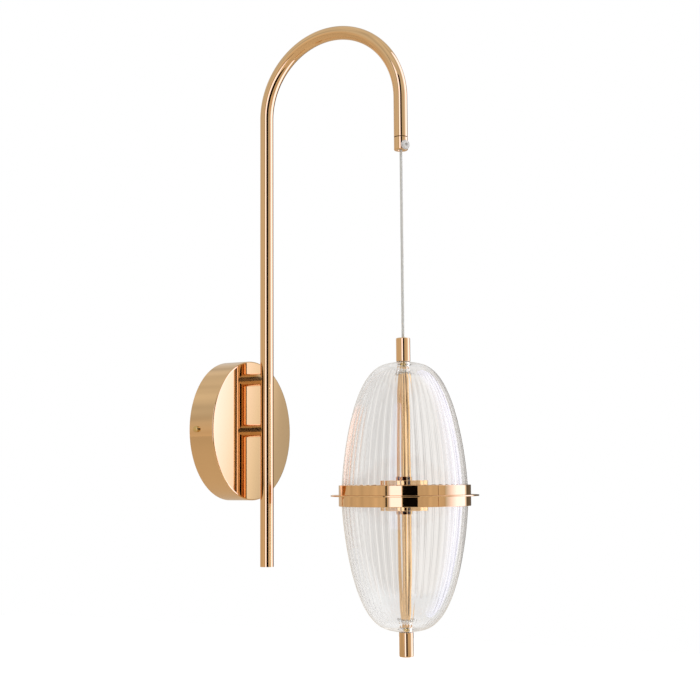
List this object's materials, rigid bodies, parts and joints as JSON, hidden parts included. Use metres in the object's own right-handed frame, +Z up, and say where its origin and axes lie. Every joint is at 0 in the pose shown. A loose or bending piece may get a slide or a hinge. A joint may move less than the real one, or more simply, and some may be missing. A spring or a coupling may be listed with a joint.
{
  "type": "wall sconce",
  "caption": "Gooseneck wall sconce: round polished wall cup, bent tube arm and a fluted clear glass egg hanging on a clear cord.",
  "frame": {"origin": "centre of the wall cup's back, on the wall plane, level with the lower stud", "axes": "+Z up, the wall is the plane Y = 0 and the lamp stands off it towards -Y, +X to the left of someone facing the wall"},
  "size_m": [0.131, 0.2398, 0.551],
  "materials": {
    "polished_gold": "mirror polished warm gold plating",
    "screw_brass": "bright brass",
    "zinc_steel": "zinc plated steel",
    "clear_glass": "clear pressed glass, smooth outside and fluted inside",
    "clear_nylon": "clear nylon",
    "clear_cord": "clear insulation over fine tinned strands",
    "white_plastic": "moulded white plastic",
    "foam_pad": "adhesive foam",
    "red_wire": "red insulation",
    "board_white": "white solder mask",
    "opal_plastic": "opal diffuser plastic",
    "silicone": "clear grey silicone",
    "crimp_metal": "plain aluminium"
  },
  "bodies": {
    "lamp": {"canopy_cup": "polished_gold", "wall_bracket": "zinc_steel", "canopy_side_screws": "screw_brass", "terminal_block": "white_plastic", "earth_screw": "screw_brass", "led_driver": "white_plastic", "driver_pad": "foam_pad", "driver_input_leads": "red_wire", "stud_lower": "polished_gold", "stud_upper": "polished_gold", "stud_washers": "zinc_steel", "stud_nuts": "zinc_steel", "arm_tube": "polished_gold", "rod_end_plug": "polished_gold", "arm_end_cap": "polished_gold", "lead_in_arm": "clear_cord"},
    "bead": {"cord_bead": "clear_cord"},
    "hanging_cord": {"cord": "clear_cord", "cord_anchor": "crimp_metal"},
    "grip": {"grip_screw": "clear_nylon"},
    "shade": {"band_lower": "polished_gold", "band_upper": "polished_gold", "board_jumpers": "red_wire", "centre_rod": "screw_brass", "diffuser_lower": "opal_plastic", "diffuser_upper": "opal_plastic", "hub_lower": "polished_gold", "hub_screws": "zinc_steel", "hub_upper": "polished_gold", "inner_lead": "clear_cord", "led_board_lower": "board_white", "led_board_upper": "board_white", "lower_finial": "polished_gold", "lower_finial_gasket": "silicone", "lower_glass": "clear_glass", "lower_inner_washer": "silicone", "lower_locknut": "polished_gold", "lower_rim_gasket": "silicone", "lower_sleeve": "polished_gold", "mid_plate": "polished_gold", "upper_finial": "polished_gold", "upper_finial_gasket": "silicone", "upper_glass": "clear_glass", "upper_inner_washer": "silicone", "upper_locknut": "polished_gold", "upper_rim_gasket": "silicone", "upper_sleeve": "polished_gold"}
  },
  "joints": [
    {"name": "swing_from_wall", "type": "hinge", "parent": "lamp", "child": "bead", "pos_m": [0, -0.1775, 0.2412], "axis": [1, 0, 0], "range_deg": [-15, 12]},
    {"name": "swing_sideways", "type": "hinge", "parent": "bead", "child": "hanging_cord", "pos_m": [0, -0.1775, 0.2412], "axis": [0, 1, 0], "range_deg": [-15, 15]},
    {"name": "shade_turn", "type": "hinge", "parent": "hanging_cord", "child": "shade", "pos_m": [0, -0.1775, 0.074], "axis": [0, 0, 1], "range_deg": [-180, 180]},
    {"name": "grip_screw_turn", "type": "hinge", "parent": "lamp", "child": "grip", "pos_m": [0, -0.1775, 0.2415], "axis": [-0.5, -0.866, 0], "range_deg": [-360, 360]}
  ]
}
